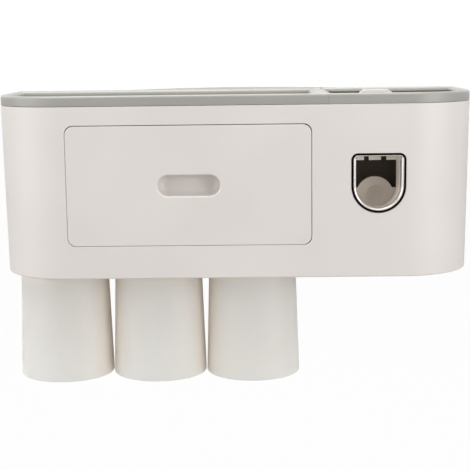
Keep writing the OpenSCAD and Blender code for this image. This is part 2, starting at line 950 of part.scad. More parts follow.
module pull_tab() {
    base_z = rim_z - 1.5;
    slope = (tab_w - tab_top_w) / 2;
    stand(cart_front, cart_front + cart_t)
        polygon([[window_x - cart_w / 2 + 3, deck_z], [window_x + cart_w / 2 - 3, deck_z],
            [window_x + cart_w / 2 - 3, base_z], [window_x + tab_w / 2, base_z],
            [window_x + tab_w / 2, rim_z], [window_x + tab_w / 2 - slope, rim_z + tab_rise],
            [window_x - tab_w / 2 + slope, rim_z + tab_rise], [window_x - tab_w / 2, rim_z],
            [window_x - tab_w / 2, base_z], [window_x - cart_w / 2 + 3, base_z]]);
}

module cartridge_frame() {
    depth = frame_back - cart_front;
    color(white)
        difference() {
            union() {
                difference() {
                    translate([window_x - cart_w / 2, cart_front, cart_bottom])
                        cube([cart_w, depth, cart_h + cart_t]);
                    translate([window_x - cart_w / 2 + cart_t, cart_front + cart_t, cart_bottom + cart_t])
                        cube([cart_w - 2 * cart_t, depth, cart_h - cart_t]);
                }
                tunnel_solid(tunnel_t, cart_front + eps, tunnel_back);
                pull_tab();
                translate([window_x, pump_y, pump_top - eps])
                    cylinder(h = upstand_h, r = pump_flange_r + 0.2 + upstand_t);
                for (p = cart_screw_points)
                    translate([p[0], 0, p[1]])
                        stand(frame_back - cart_boss_l, frame_back)
                            circle(r = cart_boss_r);
            }
            tunnel_solid(0, cart_front - 0.5, tunnel_back + 0.5);
            translate([window_x, pump_y, pump_top])
                cylinder(h = upstand_h + 1, r = pump_flange_r + 0.2);
            translate([window_x, pump_y, deck_z - 1])
                cylinder(h = cart_t + 2, r = pump_d / 2 + 0.2);
            translate([window_x - cart_w / 2 - 1, pin_y, pin_z])
                rotate([0, 90, 0])
                    cylinder(h = cart_w + 2, r = pin_d / 2 + pin_play);
            for (p = cart_screw_points)
                translate([p[0], 0, p[1]])
                    stand(frame_back - cart_boss_l + 1, frame_back + 1)
                        circle(r = small_screw_d / 2 + pin_play);
        }
    color(white)
        guard_teeth();
}

module cartridge_back() {
    back = cart_back_y;
    color(white)
        difference() {
            union() {
                translate([window_x - cart_w / 2, back - cart_back_t, cart_bottom])
                    cube([cart_w, cart_back_t, cart_h + cart_t]);
                translate([window_x, 0, dish_z])
                    stand(back - cart_back_t - 3, back - cart_back_t + eps)
                        circle(r = (coil_d - wire_d) / 2 - 0.4);
            }
            for (p = cart_screw_points)
                translate([p[0], 0, p[1]])
                    stand(back - cart_back_t - 1, back + 1)
                        circle(r = small_screw_d / 2 + pin_play);
        }
}

module cartridge_screws() {
    color(steel)
        for (p = cart_screw_points)
            translate([p[0], cart_back_y + cart_screw_head + pin_play, p[1]])
                screw(small_screw_d, 2 * small_screw_d, cart_screw_l, cart_screw_head);
}

// The dish in the scoop: a short round trough, deepest in its middle
module dish(grow) {
    half_w = dish_w / 2;
    half_h = dish_h / 2;
    across = (half_w * half_w + dish_d * dish_d) / (2 * dish_d);
    along = (half_h * half_h + dish_d * dish_d) / (2 * dish_d);
    translate([window_x, lever_front - along + dish_d, dish_z])
        rotate([0, 90, 0])
            rotate_extrude()
                intersection() {
                    translate([along - across, 0])
                        circle(r = across + grow);
                    translate([0, -across - grow])
                        square([along + across + grow, 2 * (across + grow)]);
                }
}

// Side view of one lever arm: from the scoop up past the hinge to the presser
module arm_outline() {
    y0 = lever_front;
    polygon([[y0, scoop_low], [y0 + arm_foot, scoop_low], [pin_y + arm_half, pin_z - arm_half],
        [pin_y + arm_half, press_top], [pin_y - arm_half / 8, press_top],
        [pin_y - arm_half, pin_z + arm_half], [y0, tunnel_floor + shoulder_h]]);
}

module push_lever() {
    bar_y = presser_front + presser_t;
    color(white)
        difference() {
            union() {
                translate([window_x, 0, 0])
                    stand(lever_front, lever_front + scoop_t) {
                        translate([-arm_out, scoop_low])
                            square([2 * arm_out, tunnel_floor + shoulder_h - scoop_low]);
                        intersection() {
                            translate([0, scoop_z])
                                circle(r = scoop_r);
                            translate([-scoop_r, scoop_low])
                                square([2 * scoop_r, 2 * scoop_r + scoop_z - scoop_low]);
                        }
                    }
                intersection() {
                    dish(dish_t);
                    translate([window_x - dish_w, lever_front + eps, scoop_low])
                        cube([2 * dish_w, 2 * dish_h, scoop_z + scoop_r - scoop_low]);
                }
                for (s = [-1, 1])
                    translate([window_x + s * (arm_in + arm_t / 2) - arm_t / 2, 0, 0])
                        rotate([90, 0, 90])
                            linear_extrude(arm_t)
                                arm_outline();
                translate([window_x - arm_out, bar_y, press_top - presser_h])
                    cube([2 * arm_out, pin_y + arm_half - bar_y, presser_h]);
            }
            dish(0);
            translate([window_x - cart_w, pin_y, pin_z])
                rotate([0, 90, 0])
                    cylinder(h = 2 * cart_w, r = pin_d / 2 + pin_play);
            translate([window_x, 0, press_top - presser_h / 2])
                stand(bar_y - 1, pin_y + arm_half + 1)
                    circle(r = stud_r + pin_play);
        }
}

module hinge_pin() {
    len = cart_w - 0.4;
    color(steel)
        translate([window_x - len / 2, pin_y, pin_z])
            rotate([0, 90, 0])
                cylinder(h = len, r = pin_d / 2);
}

module presser_pad() {
    color(silicone)
        translate([window_x, 0, press_top - presser_h / 2]) {
            difference() {
                stand(presser_front - 2, presser_front + presser_t - 0.05)
                    round_rect(presser_w, presser_h, 1.5);
                translate([0, pump_y, -presser_h])
                    cylinder(h = 2 * presser_h, r = pump_d / 2 + presser_gap);
            }
            stand(presser_front + presser_t - fit_gap / 2, pin_y + arm_half + fit_gap)
                circle(r = stud_r);
        }
}

// One point ring of the spring wire at a given number of turns
function coil_ring(turn, pitch, sides) =
    let (a = 360 * turn, r = coil_d / 2, lift = atan2(pitch, 2 * PI * r))
    [for (k = [0 : sides - 1])
        let (b = 360 * k / sides, u = wire_d / 2 * cos(b), v = wire_d / 2 * sin(b))
        [(r + u) * cos(a) + v * sin(lift) * sin(a), turn * pitch + v * cos(lift),
            (r + u) * sin(a) - v * sin(lift) * cos(a)]];

// Compression spring along Y between the scoop's dish and the cartridge's back
module return_spring() {
    sides = 6;
    rings = 8 * coil_turns;
    start = lever_front + scoop_t + 0.3 + wire_d / 2 + spring_seat;
    pitch = (cart_back_y - cart_back_t - 0.3 - wire_d / 2 - start) / coil_turns;
    points = [for (i = [0 : rings]) each coil_ring(i / 8, pitch, sides)];
    last = rings * sides;
    sides_faces = [for (i = [0 : rings - 1], k = [0 : sides - 1])
        let (a = i * sides + k, b = i * sides + (k + 1) % sides)
        each [[a, b, b + sides], [a, b + sides, a + sides]]];
    start_cap = [for (k = [1 : sides - 2]) [0, k + 1, k]];
    end_cap = [for (k = [1 : sides - 2]) [last, last + k, last + k + 1]];
    color(steel)
        translate([window_x, start, dish_z])
            polyhedron(points, concat(sides_faces, start_cap, end_cap), convexity = 8);
}

// Pump

module pump_sleeve() {
    r = pump_d / 2;
    color(silicone)
        translate([window_x, pump_y, 0])
            rotate_extrude()
                polygon([[r - pump_t, pump_top + flange_t], [pump_flange_r, pump_top + flange_t],
                    [pump_flange_r, pump_top + valve_gap], [r, pump_top + valve_gap],
                    [r, pump_low + 4], [outlet_r + 1.2, pump_low], [outlet_r - 0.6, pump_low],
                    [outlet_r - 0.6, pump_low + 1.6], [r - pump_t, pump_low + 5]]);
}

// The slit outlet that hangs under the pump, at the top of the opening
module outlet_valve() {
    color(silicone)
        translate([window_x, pump_y, 0])
            difference() {
                rotate_extrude()
                    polygon([[0, pump_low - outlet_h], [outlet_r - 2.5, pump_low - outlet_h],
                        [outlet_r, pump_low - 2],
                        [outlet_r, pump_low - 0.1], [outlet_r - 0.7, pump_low - 0.1],
                        [outlet_r - 0.7, pump_low + 1.4], [outlet_r - 2, pump_low + 1.4],
                        [outlet_r - 2, pump_low - 2], [0, pump_low - 3.6]]);
                translate([-1.6, -0.2, pump_low - 6])
                    cube([3.2, 0.4, 4]);
            }
}

// The flap that lets paste in and not back out
module inlet_valve() {
    z = pump_top + flange_t + valve_gap;
    flap_r = pump_d / 2 - 3;
    color(silicone)
        translate([window_x, pump_y, z])
            difference() {
                cylinder(h = valve_t, r = pump_flange_r - 0.2);
                difference() {
                    translate([0, 0, -1])
                        cylinder(h = valve_t + 2, r = flap_r);
                    translate([0, 0, -2])
                        cylinder(h = valve_t + 4, r = flap_r - 0.5);
                    translate([-2, 0, -2])
                        cube([4, flap_r + 1, valve_t + 4]);
                }
            }
}

module tube_collar() {
    r = socket_d / 2;
    z = collar_base;
    color(silicone)
        translate([window_x, pump_y, 0])
            rotate_extrude()
                polygon([[r, z], [pump_flange_r, z], [pump_flange_r, z + flange_t], [r + 3, z + flange_t],
                    [r + 3, z + socket_h - 1], [r + 2, z + socket_h], [r, z + socket_h]]);
}

module collar_nut() {
    socket_r = socket_d / 2;
    bore = pump_flange_r + 0.2 + upstand_t + 0.1;
    z = pump_top + 0.1;
    lip = collar_base + flange_t + 0.1;
    nut_t = 2;
    ribs = 12;
    color(white)
        translate([window_x, pump_y, 0])
            difference() {
                rotate_extrude()
                    polygon([[bore, z], [bore + nut_t, z], [bore + nut_t, lip + 1], [bore + 1, lip + nut_t],
                        [socket_r + 3.3, lip + nut_t], [socket_r + 3.3, lip], [bore, lip]]);
                for (i = [1 : ribs])
                    rotate([0, 0, 360 * i / ribs])
                        translate([bore + nut_t + 0.4, 0, z - 1])
                            cylinder(h = lip - z + 1, r = 0.8);
            }
}

// Cups, mouth down

module cup(x) {
    base_r = cup_base_d / 2;
    mouth_r = cup_d / 2;
    base_edge = 3;
    inner_edge = 2;
    lip_r = 0.6;
    locator_r = locator_d / 2 + 0.5;
    lean = (mouth_r - base_r) * inner_edge / cup_h;
    steps = 5;
    edge = [for (i = [0 : steps])
        let (a = 90 * i / steps)
        [base_r - base_edge + base_edge * sin(a), -base_edge + base_edge * cos(a)]];
    dimple = [[0, -locator_h - locator_gap], [locator_r, -locator_h - locator_gap], [locator_r, 0]];
    lip = [[mouth_r, lip_r - cup_h], [mouth_r - lip_r, -cup_h],
        [mouth_r - cup_t + lip_r, -cup_h], [mouth_r - cup_t, lip_r - cup_h]];
    inside = [[base_r - cup_t + lean, -cup_floor_drop - inner_edge],
        [base_r - cup_t - inner_edge, -cup_floor_drop], [0, -cup_floor_drop]];
    color(milky)
        translate([x, cup_y, cup_top])
            difference() {
                rotate_extrude()
                    polygon(concat(dimple, edge, lip, inside));
                translate([0, 0, -cup_floor_drop - 1])
                    cylinder(h = 1 + disc_t + plug_t, r = disc_d / 2 + 0.2);
            }
}

module cup_left() {
    cup(cup_xs[0]);
}

module cup_middle() {
    cup(cup_xs[1]);
}

module cup_right() {
    cup(cup_xs[2]);
}

module cup_disc(x) {
    color(steel)
        translate([x, cup_y, disc_ceiling - disc_t])
            cylinder(h = disc_t - 0.05, r = disc_d / 2);
}

module cup_disc_left() {
    cup_disc(cup_xs[0]);
}

module cup_disc_middle() {
    cup_disc(cup_xs[1]);
}

module cup_disc_right() {
    cup_disc(cup_xs[2]);
}

module cup_plug(x) {
    color(milky)
        translate([x, cup_y, disc_ceiling - disc_t - plug_t])
            cylinder(h = plug_t - 0.05, r = disc_d / 2 + 0.15);
}

module cup_plug_left() {
    cup_plug(cup_xs[0]);
}

module cup_plug_middle() {
    cup_plug(cup_xs[1]);
}

module cup_plug_right() {
    cup_plug(cup_xs[2]);
}

// Magnets over the cups

module magnet(x) {
    color(steel)
        translate([x, cup_y, magnet_z + 0.05])
            cylinder(h = magnet_t, r = magnet_d / 2);
}

module magnet_left() {
    magnet(cup_xs[0]);
}

module magnet_middle() {
    magnet(cup_xs[1]);
}

module magnet_right() {
    magnet(cup_xs[2]);
}

module magnet_cap(x) {
    top = case_floor + boss_h;
    plug_low = magnet_z + magnet_t + 0.15;
    color(white)
        translate([x, cup_y, 0]) {
            translate([0, 0, plug_low])
                cylinder(h = top - plug_low + cap_t, r = magnet_d / 2);
            translate([0, 0, top + 0.05])
                cylinder(h = cap_t, r = magnet_d / 2 + boss_wall);
        }
}

module magnet_cap_left() {
    magnet_cap(cup_xs[0]);
}

module magnet_cap_middle() {
    magnet_cap(cup_xs[1]);
}

module magnet_cap_right() {
    magnet_cap(cup_xs[2]);
}

adhesive_pad();
wall_plate();
housing();
back_cover();
back_screws();
storage_tray();
well_rim();
drawer_front();
drawer_box();
drawer_screws();
window_seal();
window_bezel();
cartridge_frame();
cartridge_back();
cartridge_screws();
push_lever();
hinge_pin();
presser_pad();
return_spring();
pump_sleeve();
outlet_valve();
inlet_valve();
tube_collar();
collar_nut();
cup_left();
cup_middle();
cup_right();
cup_disc_left();
cup_disc_middle();
cup_disc_right();
cup_plug_left();
cup_plug_middle();
cup_plug_right();
magnet_left();
magnet_middle();
magnet_right();
magnet_cap_left();
magnet_cap_middle();
magnet_cap_right();
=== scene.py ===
# Looks of the wall-mounted toothpaste dispenser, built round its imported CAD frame.
# Shapes are in millimetres and are scaled once, where a mesh is made.
# Lamps, floor and camera are placed in metres.
import math

import bmesh
import bpy
from mathutils import Matrix, Vector


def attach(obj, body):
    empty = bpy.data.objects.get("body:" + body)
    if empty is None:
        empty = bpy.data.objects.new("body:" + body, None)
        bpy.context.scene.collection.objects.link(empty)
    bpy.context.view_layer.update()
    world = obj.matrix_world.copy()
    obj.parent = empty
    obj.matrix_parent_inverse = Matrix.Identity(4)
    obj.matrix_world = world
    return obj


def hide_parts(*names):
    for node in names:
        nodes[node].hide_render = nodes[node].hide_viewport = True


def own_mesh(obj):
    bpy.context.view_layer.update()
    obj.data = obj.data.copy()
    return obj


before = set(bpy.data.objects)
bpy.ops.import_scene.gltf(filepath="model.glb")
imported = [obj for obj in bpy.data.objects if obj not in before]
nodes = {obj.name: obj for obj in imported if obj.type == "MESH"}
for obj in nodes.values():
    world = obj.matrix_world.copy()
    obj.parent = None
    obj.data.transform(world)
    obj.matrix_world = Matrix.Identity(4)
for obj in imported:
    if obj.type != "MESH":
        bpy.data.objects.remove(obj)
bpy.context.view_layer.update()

MM = 0.001
SUNK = 0.02    # how far parts of one piece reach into each other

# Levels and planes shared with the CAD frame
FRONT, SHELL_BACK, RIM_BACK = -115.5, -6.0, -6.2
HALF, CORNER, TAPER = 167.5, 49.0, 1.6
TOP, BOTTOM, WALL, FOOT = 37.7, -81.5, 2.6, 0.9
RIM_LOW, RIM_TOP, RIM_W = 37.9, 45.0, 4.8
WIN_X, WIN_Z, WIN_R, WIN_RISE, WIN_C = 98.5, -18.25, 18.5, 22.1, 4.4
DRAWER_X, DRAWER_Z = -31.5, -16.85
CUP_XS = {"left": -125.7, "middle": -57.1, "right": 11.5}
CUP_Y, CUP_TOP = -69.5, -81.8
PUMP_Y, PIN_Y, PIN_Z = -84.0, -74.0, 2.05
CART_FRONT, FRAME_BACK, CART_LOW, DECK = -109.5, -60.1, -44.05, 27.95
LEVER_FRONT, SCOOP_LOW, DISH_Z, TUNNEL_FLOOR = -89.2, -36.55, -28.95, -33.55
SCOOP_Z, SCOOP_R, SHOULDER = TUNNEL_FLOOR + 5.7, 13.2, TUNNEL_FLOOR + 11.0


# ---------------------------------------------------------------- materials

def tree_of(name):
    mat = bpy.data.materials.new(name)
    mat.use_nodes = True
    tree = mat.node_tree
    return mat, tree, tree.nodes["Principled BSDF"]


def add_node(tree, kind, **values):
    """A new shader node with inputs set by name, where _ stands for a space."""
    node = tree.nodes.new("ShaderNode" + kind)
    for name, value in values.items():
        node.inputs[name.replace("_", " ")].default_value = value
    return node


def noise_of(tree, scale, detail=3.0, rough=0.5, coord=None):
    coord = coord or add_node(tree, "TexCoord")
    tex = add_node(tree, "TexNoise", Scale=scale, Detail=detail, Roughness=rough)
    tree.links.new(coord.outputs["Object"], tex.inputs["Vector"])
    return tex, coord


def uneven_gloss(tree, bsdf, tex, low, high):
    span = add_node(tree, "MapRange", To_Min=low, To_Max=high)
    tree.links.new(tex.outputs["Fac"], span.inputs["Value"])
    tree.links.new(span.outputs["Result"], bsdf.inputs["Roughness"])


def bump_of(tree, tex, strength, distance, target):
    """A bump driven by a noise, linked to the target's normal."""
    bump = add_node(tree, "Bump", Strength=strength, Distance=distance)
    tree.links.new(tex.outputs["Fac"], bump.inputs["Height"])
    tree.links.new(bump.outputs["Normal"], target.inputs["Normal"])
    return bump


def plastic(name, color, rough=0.38, tone=0.03, grain=1400, grain_depth=0.00002, soft=0.0,
            glow=0.002, spec=0.5, smudge=0.08):
    """Moulded plastic: fine spark texture, faint flow tones and a little uneven gloss."""
    mat, tree, bsdf = tree_of(name)
    flow, coord = noise_of(tree, 14, 2)
    ramp = tree.nodes.new("ShaderNodeValToRGB")
    dark, light = ramp.color_ramp.elements[0], ramp.color_ramp.elements[1]
    dark.position, light.position = 0.35, 0.65
    dark.color = (*[c * (1 - tone) for c in color], 1)
    light.color = (*[min(1.0, c * (1 + tone * 0.4)) for c in color], 1)
    tree.links.new(flow.outputs["Fac"], ramp.inputs["Fac"])
    tree.links.new(ramp.outputs["Color"], bsdf.inputs["Base Color"])
    gloss, _ = noise_of(tree, 45, 4, 0.6, coord)
    uneven_gloss(tree, bsdf, gloss, max(0.02, rough - smudge), rough + smudge)
    spark, _ = noise_of(tree, grain, 1, 0.4, coord)
    wave, _ = noise_of(tree, 28, 1, 0.3, coord)
    sink = bump_of(tree, wave, 0.12, 0.00025, bsdf)
    bump_of(tree, spark, 0.35, grain_depth, sink)
    bsdf.inputs["Specular IOR Level"].default_value = spec
    if soft:
        bsdf.inputs["Subsurface Weight"].default_value = soft
        bsdf.inputs["Subsurface Radius"].default_value = (1.0, 0.95, 0.85)
        bsdf.inputs["Subsurface Scale"].default_value = glow
    return mat


def metal(name, color, rough=0.15, grain=0.0, stretch=(1, 1, 1), share=1.0):
    """Bare or plated metal with faint hairlines or clouding in its gloss."""
    mat, tree, bsdf = tree_of(name)
    bsdf.inputs["Base Color"].default_value = (*color, 1)
    bsdf.inputs["Metallic"].default_value = share
    coord = add_node(tree, "TexCoord")
    mapping = add_node(tree, "Mapping", Scale=stretch)
    tree.links.new(coord.outputs["Object"], mapping.inputs["Vector"])
    tex = add_node(tree, "TexNoise", Scale=220, Detail=3)
    tree.links.new(mapping.outputs["Vector"], tex.inputs["Vector"])
    uneven_gloss(tree, bsdf, tex, max(0.03, rough * 0.7), rough * 1.4)
    if grain:
        bump_of(tree, tex, 0.3, grain, bsdf)
    return mat


def clear_plastic(name):
    """Milky clear plastic with uneven gloss."""
    mat, tree, bsdf = tree_of(name)
    bsdf.inputs["Base Color"].default_value = (0.78, 0.80, 0.80, 1)
    bsdf.inputs["Transmission Weight"].default_value = 0.35
    bsdf.inputs["IOR"].default_value = 1.49
    tex, _ = noise_of(tree, 60, 3)
    uneven_gloss(tree, bsdf, tex, 0.08, 0.22)
    return mat


WHITE = plastic("white_plastic", (0.682, 0.638, 0.606), rough=0.42)
GREY = plastic("grey_plastic", (0.330, 0.322, 0.294), rough=0.34, smudge=0.04)
# The cartridge's plastic is painted lighter than its own colour: painted light standing in for
# light inside the brush tunnel.
CARTRIDGE_PAINTED_LIGHT = plastic("cartridge_plastic", (0.92, 0.86, 0.80), rough=0.32, soft=0.05)
# The pull tab is the cartridge's plastic painted darker: painted shade on the tab.
TAB_PAINTED_SHADE = plastic("tab_plastic_painted_shade", (0.70, 0.665, 0.645), rough=0.4, soft=0.05)
# The lever is white plastic painted a darker grey-beige: painted shade of the tunnel it sits in.
LEVER_PAINTED_SHADE = plastic("lever_plastic", (0.60, 0.54, 0.475), rough=0.36, spec=0.35)
# Painted shade: near-black brown for the cartridge's back, standing in for the shade inside the
# cartridge.
DARK_PAINTED_SHADE = plastic("dark_plastic", (0.24, 0.19, 0.15), rough=0.5, tone=0.15, spec=0.3)
RUBBER = plastic("black_rubber", (0.003, 0.003, 0.003), rough=0.6, tone=0.2, grain=2500, spec=0.02)
SILICONE = plastic("dark_silicone", (0.05, 0.046, 0.042), rough=0.5, tone=0.1, soft=0.1)
CUP = plastic("cup_plastic", (0.93, 0.82, 0.70), rough=0.46, tone=0.02, grain=2600,
              grain_depth=0.00003, soft=1.0, glow=0.0125)
CHROME = metal("bright_trim", (0.68, 0.63, 0.60), rough=0.14, share=0.55)
STEEL = metal("plain_steel", (0.56, 0.57, 0.59), rough=0.28, grain=0.00002, stretch=(1, 6, 1))
CLEAR = clear_plastic("clear_plastic")


# ---------------------------------------------------------------- outlines

def quarter(n):
    """The angles of a quarter turn in n equal steps."""
    return [math.pi / 2 * i / n for i in range(n + 1)]


# Angles of a round edge from its top face down
ROUND = quarter(8)[::-1]


def arc(cx, cy, r, a0, a1, n):
    """Points on a circle between two angles in degrees, in n steps."""
    return [(cx + r * math.cos(math.radians(a0 + (a1 - a0) * i / n)),
             cy + r * math.sin(math.radians(a0 + (a1 - a0) * i / n))) for i in range(n + 1)]


def window_path(r, rise, c, n=40, z=WIN_Z):
    """Closed outline of the window in XZ: a round lower end, straight sides and two top corners."""
    pts = arc(0, 0, r, 180, 360, n)
    pts += arc(r - c, rise - c, c, 0, 90, 12)
    pts += arc(-r + c, rise - c, c, 90, 180, 12)
    return [(WIN_X + a, z + b) for a, b in pts]


def pill_path(w, h, n=24):
    """A slot's outline with round ends."""
    d = (w - h) / 2
    return arc(d, 0, h / 2, -90, 90, n) + arc(-d, 0, h / 2, 90, 270, n)


def rect_path(w, h, r, n=16):
    """A rectangle's outline with round corners."""
    x, y = w / 2 - r, h / 2 - r
    return (arc(x, -y, r, -90, 0, n) + arc(x, y, r, 0, 90, n)
            + arc(-x, y, r, 90, 180, n) + arc(-x, -y, r, 180, 270, n))


def u_path(inset, rear, half=HALF, n=40):
    """The body's plan from its rear left corner round the front to its rear right corner."""
    cx, cy, r = half - CORNER, FRONT + CORNER, CORNER - inset
    return ([(-half + inset, rear)] + arc(-cx, cy, r, 180, 270, n)
            + arc(cx, cy, r, 270, 360, n) + [(half - inset, rear)])


def level(path, z):
    """A plan outline of (x, y) points at height z."""
    return [(x, y, z) for x, y in path]


def upright(path, y, x=0.0, z=0.0):
    """An outline of (x, z) points moved to a place and stood at y."""
    return [(x + a, y, z + b) for a, b in path]


# ---------------------------------------------------------------- solids, as (vertices, faces)

def loft(rings, closed=True, around=False):
    """Quads between successive rings of equally many points; around joins the last to the first."""
    n, m = len(rings[0]), len(rings)
    verts = [p for ring in rings for p in ring]
    faces = []
    for i in range(m if around else m - 1):
        a, b = i * n, (i + 1) % m * n
        for k in range(n if closed else n - 1):
            j = (k + 1) % n
            faces.append((a + k, a + j, b + j, b + k))
    if not around:
        faces.append(tuple(reversed(range(n))))
        faces.append(tuple(range((m - 1) * n, m * n)))
    return verts, faces


def joined(*parts):
    verts, faces = [], []
    for v, f in parts:
        base = len(verts)
        verts += v
        faces += [tuple(i + base for i in face) for face in f]
    return verts, faces


def block(x0, x1, y0, y1, z0, z1):
    plan = [(x0, y0), (x1, y0), (x1, y1), (x0, y1)]
    return loft([level(plan, z0), level(plan, z1)])


def prism(path, y0, y1, x=0.0, z=0.0):
    return loft([upright(path, y0, x, z), upright(path, y1, x, z)])


def lathe(profile, at, n=96, around=False):
    """Turns (radius, height) points about a vertical axis."""
    rings = []
    for r, z in profile:
        turn = [2 * math.pi * k / n for k in range(n)]
        rings.append([(at[0] + r * math.cos(a), at[1] + r * math.sin(a), z) for a in turn])
    return loft(rings, around=around)


def tube_x(x0, x1, y, z, r, n=48):
    ring = arc(y, z, r, 0, 360 - 360 / n, n - 1)
    return loft([[(x, a, b) for a, b in ring] for x in (x0, x1)])


def tube_y(y0, y1, x, z, r, n=48):
    return prism(arc(x, z, r, 0, 360 - 360 / n, n - 1), y0, y1)


def coil(y0, y1, turns, r, wire, x, z, sides=8, steps=24):
    """A round wire of radius wire, wound about Y between two planes."""
    pitch = (y1 - y0 - 2 * wire) / turns
    lift = math.atan2(pitch, 2 * math.pi * r)
    rings = []
    for i in range(turns * steps + 1):
        a = 2 * math.pi * i / steps
        ring = []
        for k in range(sides):
            b = 2 * math.pi * k / sides
            u, v = wire * math.cos(b), wire * math.sin(b)
            ring.append((x + (r + u) * math.cos(a) + v * math.sin(lift) * math.sin(a),
                         y0 + wire + pitch * i / steps + v * math.cos(lift),
                         z + (r + u) * math.sin(a) - v * math.sin(lift) * math.cos(a)))
        rings.append(ring)
    return loft(rings)


# ---------------------------------------------------------------- objects

def obj_from(name, part, material):
    mesh = bpy.data.meshes.new(name)
    mesh.from_pydata([(x * MM, y * MM, z * MM) for x, y, z in part[0]], [], part[1])
    bm = bmesh.new()
    bm.from_mesh(mesh)
    bmesh.ops.remove_doubles(bm, verts=bm.verts, dist=2e-6)
    bmesh.ops.dissolve_degenerate(bm, edges=bm.edges, dist=1e-6)
    bmesh.ops.recalc_face_normals(bm, faces=bm.faces)
    bm.to_mesh(mesh)
    bm.free()
    mesh.materials.append(material)
    obj = bpy.data.objects.new(name, mesh)
    bpy.context.scene.collection.objects.link(obj)
    return obj


def settle(obj):
    """Turns the object's modifiers into its mesh."""
    bpy.context.view_layer.update()
    graph = bpy.context.evaluated_depsgraph_get()
    mesh = bpy.data.meshes.new_from_object(obj.evaluated_get(graph))
    old = obj.data
    obj.modifiers.clear()
    obj.data = mesh
    bpy.data.meshes.remove(old)


def combine(obj, other, operation):
    """Applies a boolean with another object, which is used up."""
    mod = obj.modifiers.new("combine", "BOOLEAN")
    mod.operation, mod.solver, mod.object = operation, "EXACT", other
    settle(obj)
    bpy.data.objects.remove(other)


def carve(obj, *parts, operation="DIFFERENCE"):
    for part in parts:
        combine(obj, obj_from(obj.name + "_tool", part, obj.data.materials[0]), operation)


def soften(obj, width=0.3, segments=2, angle=35):
    """Rounds the hard edges and gives flat faces flat shading."""
    if width:
        mod = obj.modifiers.new("edges", "BEVEL")
        mod.width = width * MM
        mod.segments = segments
        mod.limit_method = "ANGLE"
        mod.angle_limit = math.radians(angle)
        mod.use_clamp_overlap = True
        settle(obj)
    obj.data.shade_smooth()
    obj.data.set_sharp_from_angle(angle=math.radians(50))
    weights = obj.modifiers.new("shading", "WEIGHTED_NORMAL")
    weights.keep_sharp = True
    weights.weight = 90


def place(obj, body, slot, *replaced):
    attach(obj, body)
    if replaced:
        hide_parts(*replaced)


# ---------------------------------------------------------------- casing

def half_at(z):
    """Half the body's width, which narrows toward its foot."""
    return HALF - TAPER * (TOP - z) / (TOP - BOTTOM)


def shell_part():
    """The casing's skin as a row of open outlines, closed by its two rear edges and its back."""
    profile = [(BOTTOM + FOOT * (1 - math.sin(t)), FOOT * (1 - math.cos(t))) for t in ROUND]
    profile += [(-20.0, 0.0), (TOP - 0.35, 0.0), (TOP - 0.1, 0.1), (TOP, 0.35)]
    profile += [(TOP, WALL), (BOTTOM + WALL, WALL)]
    rings = [level(u_path(inset, SHELL_BACK, half_at(z)), z) for z, inset in profile]
    verts, faces = loft(rings, closed=False)
    n, m = len(rings[0]), len(rings)
    for k in (0, n - 1):
        faces.append(tuple(i * n + k for i in range(m)))
    faces.append((0, n - 1, m * n - 1, (m - 1) * n))
    return verts, faces


def bay_parts():
    """The drawer's bay, the partition, posts and guides inside the casing."""
    # the bay's half width and the partition's distance, both from the drawer's middle
    bay, partition = 82.7, 89.4
    bay_t, rail_t = 1.8, 2.1
    front, back, floor = FRONT + WALL - SUNK, -10.0, BOTTOM + WALL - SUNK
    bay_top, ledge, hold, hold_l, stop, stop_h = 20.0, -59.7, 12.7, 45, 13.5, 6.5
    parts = []

    def rail(s, x0, x1, *rest):
        a, b = sorted((DRAWER_X + s * x0, DRAWER_X + s * x1))
        parts.append(block(a, b, *rest))

    for s in (-1, 1):
        rail(s, bay, bay + bay_t, front, back, ledge, bay_top)
        rail(s, bay - 7, bay + bay_t, front, back, ledge, ledge + rail_t)
        rail(s, bay - 3.5, bay + bay_t, back - hold_l, back, hold, hold + bay_t)
    for z in (ledge, hold):
        rail(1, bay + bay_t - 0.1, partition, front, back, z, z + rail_t)
    parts.append(block(DRAWER_X - bay, DRAWER_X + bay, -111.7, -109.3, stop, stop + stop_h))

    # the left support wall goes round the magnet's boss
    wall_x, boss = (DRAWER_X - bay - bay_t, DRAWER_X - bay), 13.8
    for y0, y1 in ((front, CUP_Y - boss), (CUP_Y + boss, back)):
        parts.append(block(*wall_x, y0, y1, floor, ledge + 0.1))
    parts.append(block(*wall_x, CUP_Y - boss - 0.1, CUP_Y + boss + 0.1, -61.8, ledge + 0.1))

    # the partition between the bay and the tube well, with its raised middle
    parts.append(block(57.8, 60.4, front, SHELL_BACK - 0.1, floor, TOP))
    parts.append(block(57.8, 60.4, -108.3, -13.4, TOP - 1, 41.2))

    # screw posts at the back, the outer ones with a web to the side wall
    post_l, post_r, web = 18, 3.6, 1.3
    for x in (-157.0, 60.1, 157.0):
        for z in (-70.0, 8.0):
            parts.append(tube_y(SHELL_BACK - post_l, SHELL_BACK - 0.1, x, z, post_r, 32))
            if abs(x) > 100:
                a, b = sorted((x, x + math.copysign(8.1, x)))
                parts.append(block(a, b, SHELL_BACK - post_l, SHELL_BACK - 0.1, z - web, z + web))

    # guides and foot rails of the cartridge
    for s in (-1, 1):
        x = WIN_X + s * 25.6
        parts.append(block(x - 1, x + 1, front, FRONT + WALL + 11, -52.05, 23.7))
        x = WIN_X + s * 19
        parts.append(block(x - 1, x + 1, front, front + 47.5, floor, -44.15))

    # a shallow seat under the floor and a magnet's boss on it, over each cup
    for x in CUP_XS.values():
        seat = [(14.0, BOTTOM - 1.0), (14.5, BOTTOM - 0.5), (14.5, BOTTOM + SUNK)]
        boss_top = BOTTOM + WALL + 6
        ring = [(11.05, floor), (13.4, floor), (13.4, boss_top), (11.05, boss_top)]
        parts.append(lathe(seat, (x, CUP_Y)))
        parts.append(lathe(ring, (x, CUP_Y), around=True))
    return joined(*parts)


